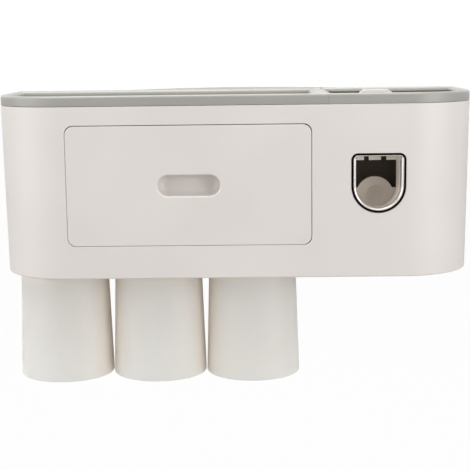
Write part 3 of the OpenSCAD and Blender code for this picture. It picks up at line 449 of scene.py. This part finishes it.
casing = obj_from("casing_shell", shell_part(), WHITE)
carve(casing,
      prism(rect_path(169.0, 83.5, 5.8), FRONT - 2, FRONT + WALL + 0.7, DRAWER_X, DRAWER_Z),
      prism(window_path(WIN_R + 0.2, WIN_RISE + 0.2, WIN_C), FRONT - 2, FRONT + WALL + 0.7))
soften(casing, 0.3)
inside = obj_from("casing_bay", bay_parts(), WHITE)
soften(inside, 0.15, 1)
place(casing, "casing", "white_plastic", "housing")
place(inside, "casing", "white_plastic")


# ---------------------------------------------------------------- rim band and tray

def rim_outer(n=8, r=1.8):
    """Band profile from its lower outer edge over the rounded top, as (inset, z)."""
    pts = [(0.25, RIM_LOW), (0.0, RIM_LOW + 0.25)]
    pts += [(r - r * math.cos(t), RIM_TOP - r + r * math.sin(t)) for t in quarter(n)]
    return pts


def rim_inner(inset, width, drop, top=RIM_TOP):
    """The round inner edge of a band, from the top face down, as (inset, z)."""
    return [(inset + width * math.cos(t), top - drop + drop * math.sin(t)) for t in ROUND]


def tray_section(wall, low):
    """The tray's inner wall down to its floor and back up outside, as (inset, z)."""
    return [(wall, 30.6), (wall + 0.25, 29.6), (wall + 0.9, 28.98), (wall + 1.8, 28.8),
            (wall + 1.8, 27.0), (wall - 0.8, 27.0), (wall - 1.6, 27.3), (wall - 1.8, 28.0),
            (wall - 1.8, low)]


def tray_part():
    """Tray and band in one skin: three outer sides share one profile, the bridge has its own."""
    side_wall, bridge_wall, bridge_low, edge = 5.0, 8.8, 43.2, 64.35
    side = rim_outer() + rim_inner(1.8, 3.2, 3.4) + tray_section(side_wall, RIM_LOW)
    steps = len(rim_outer()) - 4
    bridge = [(0.25, bridge_low), (0.0, 43.4)] + [(0.0, 43.6 + i / steps) for i in range(steps)]
    bridge += [(0.12, 44.88), (0.4, RIM_TOP)]
    bridge += rim_inner(2.4, 6.4, 3.4) + tray_section(bridge_wall, bridge_low)
    rings = []
    for (inset, z), (b_inset, b_z) in zip(side, bridge):
        right, front, rear = edge - b_inset, FRONT + inset, RIM_BACK - inset
        r = 2.0 if inset >= side_wall - 0.01 else 0.5
        ring = level(arc(-HALF + inset + r, rear - r, r, 90, 180, 6), z)
        ring += level(arc(-(HALF - CORNER), FRONT + CORNER, CORNER - inset, 180, 270, 40), z)
        ring += [(right, front, z), (right, front, b_z), (right, rear, b_z), (right, rear, z)]
        rings.append(ring)
    verts, faces = loft(rings, around=True)
    # floor: replace the strip between the two innermost rings by an upper and a lower face
    n = len(rings[0])
    at = len(rim_outer()) + len(ROUND) + 3
    faces = [f for f in faces if not set(f) <= set(range(at * n, (at + 2) * n))]
    faces.append(tuple(at * n + k for k in range(n)))
    faces.append(tuple((at + 1) * n + k for k in range(n)))
    return verts, faces


tray = obj_from("storage_tray_shell", tray_part(), GREY)
soften(tray, 0)
place(tray, "tray", "grey_plastic", "storage_tray")


def well_part():
    """The band round the tube well, with the skirt that stands in the casing below it."""
    edge, post_r, right_x = 64.5, 0.5, HALF - CORNER
    steps = len(rim_outer()) - 4
    bar = [(0.1, RIM_LOW), (0.0, RIM_LOW + 0.25)]
    bar += [(0.0, 38.5 + 6.1 * i / steps) for i in range(steps)]
    bar += rim_inner(1.0, 1.4, 1.4, 44.8) + [(2.4, RIM_LOW)]
    # the inner face leans back from the round edge to the band's lower outer edge
    side = (rim_outer() + rim_inner(1.8, 3.0, 3.4))[:len(bar)]
    rings = []
    for (inset, z), (b_inset, b_z) in zip(side, bar):
        left, front, rear = edge + b_inset, FRONT + inset, RIM_BACK - inset
        ring = [(left, rear, z), (left, rear, b_z), (left, front, b_z), (left, front, z)]
        ring += level(arc(right_x, FRONT + CORNER, CORNER - inset, 270, 360, 40), z)
        ring += level(arc(HALF - inset - post_r, rear - post_r, post_r, 0, 90, 6), z)
        rings.append(ring)
    skirt_low, skirt_top = 31.7, RIM_LOW + 1
    skirt = []
    for inset, z in ((2.8, skirt_top), (2.8, skirt_low + 0.5), (3.3, skirt_low), (4.6, skirt_low),
                     (4.6, skirt_top)):
        path = arc(right_x, FRONT + CORNER, CORNER - inset, 272.5, 360, 36)
        skirt.append(level(path + [(HALF - inset, -23.5)], z))
    verts, faces = loft(skirt, closed=False, around=True)
    n = len(skirt[0])
    for k in (0, n - 1):
        faces.append(tuple(i * n + k for i in range(len(skirt))))
    inner_y = RIM_BACK - RIM_W
    rear_skirt = block(65.6, 150.5, inner_y + 0.3, inner_y + 2.1, skirt_low, skirt_top)
    return joined(loft(rings, around=True), (verts, faces), rear_skirt)


well = obj_from("well_rim_band", well_part(), GREY)
soften(well, 0)
place(well, "casing", "grey_plastic", "well_rim")


# ---------------------------------------------------------------- drawer

def panel_part():
    """The drawer's front, with small rounds at its outer and inner edges."""
    w, h, r, shift = 168.4, 82.9, 6.0, -0.12
    depths = [(3.2, 0.25), (2.95, 0.0), (0.55, 0.0), (0.3, 0.06), (0.1, 0.22), (0.0, 0.55)]
    return loft([upright(rect_path(w - 2 * i, h - 2 * i, r - i), FRONT + y,
                         DRAWER_X + shift, DRAWER_Z + shift) for y, i in depths])


def recess_tool():
    """The finger recess: a flared lip, straight walls and a round floor."""
    w, h, lip = 42.8, 14.2, 1.3
    depths = [(-1.0, lip + 0.2)]
    depths += [(lip - lip * math.cos(t), lip - lip * math.sin(t)) for t in quarter(7)]
    depths += [(5.5, 0.0), (8.2, -0.6), (9.8, -1.7), (10.7, -3.0), (11.0, -4.6)]
    return loft([upright(pill_path(w + 2 * o, h + 2 * o), FRONT + y, DRAWER_X, DRAWER_Z)
                 for y, o in depths])


panel = obj_from("drawer_panel", panel_part(), WHITE)
recess_back = prism(pill_path(46.6, 18.5), FRONT + 1.0, FRONT + 12.6, DRAWER_X, DRAWER_Z)
carve(panel, recess_back, operation="UNION")
carve(panel, recess_tool())
soften(panel, 0)
place(panel, "drawer", "white_plastic", "drawer_front")


# ---------------------------------------------------------------- window trim

def ring_trim(profile):
    """A closed ring round the window; profile is (offset from its outline, depth behind the front).

    Inward offsets are smaller along the top, where the trim is narrower.
    """
    rings = []
    for o, y in profile:
        rise = WIN_RISE + max(o, 0.41 * o - 0.59)
        rings.append(upright(window_path(WIN_R + o, rise, WIN_C + o, 64), FRONT + y))
    return loft(rings, around=True)


SEAL = [(0.1, WALL), (0.1, -0.1), (0.0, -0.25), (-0.3, -0.32), (-1.0, -0.3), (-1.3, -0.2),
        (-1.3, WALL)]
BEZEL = [(-1.35, 5.5), (-1.35, -0.1), (-1.4, -0.3), (-1.55, -0.44), (-1.8, -0.5), (-2.1, -0.42),
         (-2.5, -0.2), (-2.8, 0.15), (-3.05, 0.7), (-3.2, 1.5), (-3.2, 5.5)]

seal = obj_from("window_seal_ring", ring_trim(SEAL), RUBBER)
soften(seal, 0)
place(seal, "casing", "black_rubber", "window_seal")

bezel = obj_from("window_bezel_ring", ring_trim(BEZEL), CHROME)
soften(bezel, 0)
place(bezel, "casing", "bright_trim", "window_bezel")


# ---------------------------------------------------------------- squeezer cartridge

def tunnel_ring(y, grow=0.0):
    """The brush tunnel's section at y: it narrows, gets taller and sinks toward the back."""
    t = (y - CART_FRONT) / 20.0
    return upright(window_path(15.3 - 0.5 * t + grow, 20.2 + 2.0 * t + grow, 2.2 + grow, 48,
                               WIN_Z - 3.0 * t), y)


def cartridge_shell():
    half_w, t, deck_t, hole_r = 24, 2, 2, 8.2
    x0, x1 = WIN_X - half_w, WIN_X + half_w
    shell = obj_from("cartridge_shell",
                     block(x0, x1, CART_FRONT, FRAME_BACK, CART_LOW, DECK + deck_t), CARTRIDGE_PAINTED_LIGHT)
    carve(shell,
          block(x0 + t, x1 - t, CART_FRONT + t, FRAME_BACK + 5, CART_LOW + t, DECK),
          loft([tunnel_ring(-111.0), tunnel_ring(-106.0)]),
          lathe([(hole_r, DECK - 1), (hole_r, DECK + 3)], (WIN_X, PUMP_Y), 64))
    soften(shell, 0.3)
    return shell


def tunnel_part():
    """The tunnel's wall behind the window, and the rim round the collar's nut on the deck."""
    rows = [(-109.4, 1.6), (-91.0, 1.6), (-89.75, 1.5), (-89.5, 1.1), (-89.5, 0.45), (-89.75, 0.05),
            (-91.0, 0.0), (-109.4, 0.0)]
    tunnel = loft([tunnel_ring(y, grow) for y, grow in rows], around=True)
    deck, inner, outer, h = DECK + 2 - SUNK, 11.7, 13.2, 3.5
    rim = [(inner, deck), (outer, deck), (outer, deck + h - 0.2), (outer - 0.2, deck + h),
           (inner + 0.2, deck + h), (inner, deck + h - 0.2)]
    return joined(tunnel, lathe(rim, (WIN_X, PUMP_Y), around=True))


shell = cartridge_shell()
tunnel = obj_from("cartridge_tunnel", tunnel_part(), CARTRIDGE_PAINTED_LIGHT)
soften(tunnel, 0)
place(shell, "cartridge", "cartridge_plastic", "cartridge_frame")
place(tunnel, "cartridge", "cartridge_plastic")


def teeth_part():
    """Three teeth that hang at the tunnel's rear edge, joined along the top."""
    low, high, y0, y1 = -2.9, 2.3, -91.0, -89.5
    spans = [(-14.0, -7.8), (-4.4, 4.1), (7.9, 14.8)]
    root = block(WIN_X + spans[0][0], WIN_X + spans[-1][1], y0 + SUNK, y1 - SUNK, 0.2, high)
    return joined(*[block(WIN_X + a, WIN_X + b, y0, y1, low, high) for a, b in spans], root)


teeth = obj_from("guard_teeth", teeth_part(), CARTRIDGE_PAINTED_LIGHT)
soften(teeth, 0.25)
place(teeth, "cartridge", "cartridge_plastic")


def tab_part():
    """The plate at the cartridge's front that ends in the pull tab; its top lies off the middle."""
    low_w, high_w, shift, t = 11.2, 8.05, -1.9, 2
    base = RIM_TOP - 1.5
    half = [(21, DECK), (21, base - 1.0), (20.7, base - 0.3), (20, base), (low_w + 0.8, base),
            (low_w, base + 0.6), (low_w, RIM_TOP - 0.2), (low_w - 0.2, RIM_TOP + 0.25),
            (high_w + 0.35, RIM_TOP + 1.95), (high_w - 0.1, RIM_TOP + 2.2)]
    path = [(-21, DECK)] + half + [(-a, b) for a, b in half[:0:-1]]
    path = [(a + (shift if b > base else 0), b) for a, b in path]
    return prism(path, CART_FRONT, CART_FRONT + t, WIN_X)


tab = obj_from("pull_tab", tab_part(), TAB_PAINTED_SHADE)
soften(tab, 0.35, 3)
place(tab, "cartridge", "cartridge_plastic")


# ---------------------------------------------------------------- push lever

ARM_IN, ARM_OUT = 17.45, 19.95


def dish_part(grow, n=72):
    """The dish as a tyre-shaped solid turned about a sideways axis."""
    half_w, half_h, depth = 6.4, 8.3, 2.6
    across = (half_w * half_w + depth * depth) / (2 * depth)
    along = (half_h * half_h + depth * depth) / (2 * depth)
    centre_y = LEVER_FRONT - along + depth
    rings = []
    for i in range(29):
        t = math.radians(-80 + 160 * i / 28)
        x = math.sin(t) * (across + grow)
        r = along - across + math.cos(t) * (across + grow)
        turn = [2 * math.pi * k / n for k in range(n)]
        rings.append([(WIN_X + x, centre_y + r * math.sin(a), DISH_Z + r * math.cos(a))
                      for a in turn])
    return loft(rings)


def scoop_path():
    """The lever's plate: straight sides and foot, and a round bay in its upper edge's middle."""
    reach = math.sqrt(SCOOP_R ** 2 - (SHOULDER - SCOOP_Z) ** 2)
    a = math.degrees(math.atan2(SHOULDER - SCOOP_Z, reach))
    pts = [(-ARM_OUT, SCOOP_LOW), (ARM_OUT, SCOOP_LOW), (ARM_OUT, SHOULDER)]
    pts += arc(0, SCOOP_Z, SCOOP_R, a, 180 - a, 40)
    pts.append((-ARM_OUT, SHOULDER))
    return pts


def scoop_obj():
    """The plate that the brush meets, with its dish pressed in and bulging behind."""
    plate_t, dish_t = 2.2, 1.6
    plate = obj_from("push_lever_body",
                     prism(scoop_path(), LEVER_FRONT, LEVER_FRONT + plate_t, WIN_X), LEVER_PAINTED_SHADE)
    bulge = obj_from("bulge", dish_part(dish_t), LEVER_PAINTED_SHADE)
    keep = block(WIN_X - 13, WIN_X + 13, LEVER_FRONT + 0.1, LEVER_FRONT + 12,
                 SCOOP_LOW + 0.1, -14.5)
    carve(bulge, keep, operation="INTERSECT")
    combine(plate, bulge, "UNION")
    carve(plate, dish_part(0))
    soften(plate, 0.7, 4, 25)
    settle(plate)
    return plate


def arms_obj():
    """The two arms up to the pin and past it, and the bar that carries the presser pad."""
    outline = [(LEVER_FRONT, SCOOP_LOW), (LEVER_FRONT + 7.5, SCOOP_LOW), (PIN_Y + 4, PIN_Z - 4),
               (PIN_Y + 4, PIN_Z + 22), (PIN_Y - 0.5, PIN_Z + 22), (PIN_Y - 4, PIN_Z + 4),
               (LEVER_FRONT, SHOULDER)]
    parts = []
    for s in (-1, 1):
        a, b = sorted((WIN_X + s * ARM_IN, WIN_X + s * ARM_OUT))
        parts.append(loft([[(x, y, z) for y, z in outline] for x in (a, b)]))
    parts.append(block(WIN_X - ARM_OUT, WIN_X + ARM_OUT, -72.7, -70.0, 16.05, 24.05))
    arms = obj_from("push_lever_arms", joined(*parts), LEVER_PAINTED_SHADE)
    carve(arms, tube_x(WIN_X - 30, WIN_X + 30, PIN_Y, PIN_Z, 1.55))
    soften(arms, 0.3)
    return arms


scoop, arms = scoop_obj(), arms_obj()
place(scoop, "lever", "lever_plastic", "push_lever")
place(arms, "lever", "lever_plastic")


# ---------------------------------------------------------------- spring and pump sleeve

SPRING_START, SPRING_END, SLEEVE_FRONT = -84.34, -60.36, -92.0
SLEEVE = [(6.2, 8.25), (3.9, 4.85), (3.9, 3.25), (5.7, 3.25), (8.0, 7.25), (8.0, 29.97),
          (8.0, 30.07), (11.5, 30.07), (11.5, 31.47), (6.2, 31.47)]

spring = obj_from("spring_coil", coil(SPRING_START, SPRING_END, 6, 4.0, 0.4, WIN_X, DISH_Z), STEEL)
place(spring, "cartridge", "steel", "return_spring")
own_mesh(spring)
sleeve = obj_from("sleeve_skin", lathe(SLEEVE, (WIN_X, PUMP_Y), 64, around=True), SILICONE)
place(sleeve, "cartridge", "silicone", "pump_sleeve")
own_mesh(sleeve)


# ---------------------------------------------------------------- cups

def cup_part(x):
    """A cup upside down, from the middle of its base over the wall to the mouth and back inside."""
    base, mouth, h, t, floor, round_r = 31.7, 34.0, 77.1, 1.8, 4.8, 3
    lip = [(0.0, 0.7), (0.1, 0.35), (0.35, 0.1), (0.7, 0.0)]
    prof = [(0.0, -1.2), (15.0, -1.2), (15.0, -0.15), (15.15, 0.0)]
    prof += [(base - round_r + round_r * math.sin(a), -round_r + round_r * math.cos(a))
             for a in quarter(12)]
    prof += [(mouth - a, b - h) for a, b in lip]
    prof += [(mouth - t + a, b - h) for a, b in reversed(lip)]
    prof += [(base - t - a, -floor - b) for a, b in
             ((0.0, 3.0), (0.3, 1.6), (1.1, 0.6), (2.4, 0.1), (3.2, 0.0))]
    prof += [(13.2, -floor), (13.2, -floor + 2.4), (0.0, -floor + 2.4)]
    return lathe([(r, CUP_TOP + z) for r, z in prof], (x, CUP_Y), 160)


for key, x in CUP_XS.items():
    cup = obj_from("cup_shell_" + key, cup_part(x), CUP)
    soften(cup, 0)
    place(cup, key + "_cup", "cup_plastic", "cup_" + key)


# ---------------------------------------------------------------- carried-over CAD nodes

PAINT = {
    "adhesive_pad": CLEAR, "wall_plate": CLEAR, "back_cover": WHITE, "drawer_box": WHITE,
    # the cartridge's back carries the painted shade of the cartridge's dark inside
    "cartridge_back": DARK_PAINTED_SHADE, "presser_pad": SILICONE, "outlet_valve": SILICONE,
    "inlet_valve": SILICONE, "tube_collar": SILICONE, "collar_nut": CARTRIDGE_PAINTED_LIGHT,
}
for name, node in nodes.items():
    if name.startswith("magnet_cap"):
        material = WHITE
    elif name.startswith("cup_plug"):
        material = CUP
    else:
        material = PAINT.get(name, STEEL)
    if not node.material_slots:
        node.data.materials.append(material)
    for slot in node.material_slots:
        slot.material = material


# ---------------------------------------------------------------- stage and lamps

def stage_floor(reach=6.0, z=-0.34, tone=0.42, white=0.97):
    """A pale floor that keeps the object's shadow and is nearly white to the camera."""
    mesh = bpy.data.meshes.new("floor")
    corners = [(-reach, -reach), (reach, -reach), (reach, reach), (-reach, reach)]
    mesh.from_pydata(level(corners, z), [], [(0, 1, 2, 3)])
    floor = bpy.data.objects.new("floor", mesh)
    bpy.context.scene.collection.objects.link(floor)
    mat = bpy.data.materials.new("floor")
    mat.use_nodes = True
    tree = mat.node_tree
    tree.nodes.clear()
    out = add_node(tree, "OutputMaterial")
    diffuse = add_node(tree, "BsdfDiffuse", Color=(tone, tone, tone, 1))
    glow = add_node(tree, "Emission", Strength=1.0)
    path = add_node(tree, "LightPath")
    share = tree.nodes.new("ShaderNodeMath")
    share.operation = "MULTIPLY"
    share.inputs[1].default_value = white
    mix = add_node(tree, "MixShader")
    link = tree.links.new
    link(path.outputs["Is Camera Ray"], share.inputs[0])
    link(share.outputs[0], mix.inputs["Fac"])
    link(diffuse.outputs[0], mix.inputs[1])
    link(glow.outputs[0], mix.inputs[2])
    link(mix.outputs[0], out.inputs["Surface"])
    mesh.materials.append(mat)


def white_world(strength):
    """White to the camera, to gloss and through clear plastic; elsewhere an even light."""
    world = bpy.data.worlds.new("studio")
    bpy.context.scene.world = world
    world.use_nodes = True
    tree = world.node_tree
    back = tree.nodes["Background"]
    back.inputs["Color"].default_value = (1, 1, 1, 1)
    back.inputs["Strength"].default_value = 1.0
    ambient = add_node(tree, "Background", Color=(0.98, 0.99, 1, 1), Strength=strength)
    path = add_node(tree, "LightPath")
    first = tree.nodes.new("ShaderNodeMath")
    second = tree.nodes.new("ShaderNodeMath")
    first.operation = second.operation = "MAXIMUM"
    mix = add_node(tree, "MixShader")
    link = tree.links.new
    link(path.outputs["Is Camera Ray"], first.inputs[0])
    link(path.outputs["Is Glossy Ray"], first.inputs[1])
    link(first.outputs[0], second.inputs[0])
    link(path.outputs["Is Transmission Ray"], second.inputs[1])
    link(second.outputs[0], mix.inputs["Fac"])
    link(ambient.outputs[0], mix.inputs[1])
    link(back.outputs[0], mix.inputs[2])
    link(mix.outputs[0], tree.nodes["World Output"].inputs["Surface"])


def softbox(name, at, target, size, power):
    data = bpy.data.lights.new(name, "AREA")
    data.shape = "RECTANGLE"
    data.size, data.size_y = size
    data.energy = power
    lamp = bpy.data.objects.new(name, data)
    lamp.location = at
    lamp.rotation_euler = (Vector(target) - Vector(at)).to_track_quat("-Z", "Y").to_euler()
    bpy.context.scene.collection.objects.link(lamp)


# Name, place, target, size and power in watts
LAMPS = [
    ("key_top", (0.0, -0.8, 1.3), (0, -0.05, -0.05), (1.6, 1.0), 6),
    ("top_back", (-0.2, 0.15, 1.2), (-0.03, -0.05, 0), (1.6, 0.8), 20),
    ("side_left", (-1.45, -0.5, 0.1), (0, -0.05, -0.05), (0.9, 1.2), 8.5),
    ("side_right", (1.3, -0.75, 0.1), (0, -0.05, -0.05), (0.9, 1.2), 5.4),
    ("main_left", (-0.95, -1.0, 0.15), (0, -0.08, -0.05), (0.6, 0.6), 2.2),
    ("main_right", (0.95, -1.0, 0.15), (0, -0.08, -0.05), (0.6, 0.6), 4.7),
]

stage_floor()
white_world(0.5)
for lamp in LAMPS:
    softbox(*lamp)


# ---------------------------------------------------------------- camera

# Focal length in pixels, the picture's width in pixels and the sensor's in millimetres
FOCAL, PICTURE, SENSOR = 1166.786, 470.0, 36.0
PITCH, YAW, ROLL = (math.radians(a) for a in (9.1555, -0.8477, 0.7056))
EYE = (0.01154, -0.90958, 0.07669)

look = Vector((math.sin(YAW) * math.cos(PITCH), math.cos(YAW) * math.cos(PITCH), -math.sin(PITCH)))
side = Vector((math.cos(YAW), -math.sin(YAW), 0))
rise = side.cross(look)
right = math.cos(ROLL) * side - math.sin(ROLL) * rise
up = math.sin(ROLL) * side + math.cos(ROLL) * rise
camera_data = bpy.data.cameras.new("camera")
camera_data.sensor_width = SENSOR
camera_data.lens = FOCAL * SENSOR / PICTURE
camera = bpy.data.objects.new("camera", camera_data)
camera.matrix_world = Matrix((*zip(right, up, -look, EYE), (0, 0, 0, 1)))
bpy.context.scene.collection.objects.link(camera)
bpy.context.scene.camera = camera
bpy.context.scene.view_settings.view_transform = "Standard"
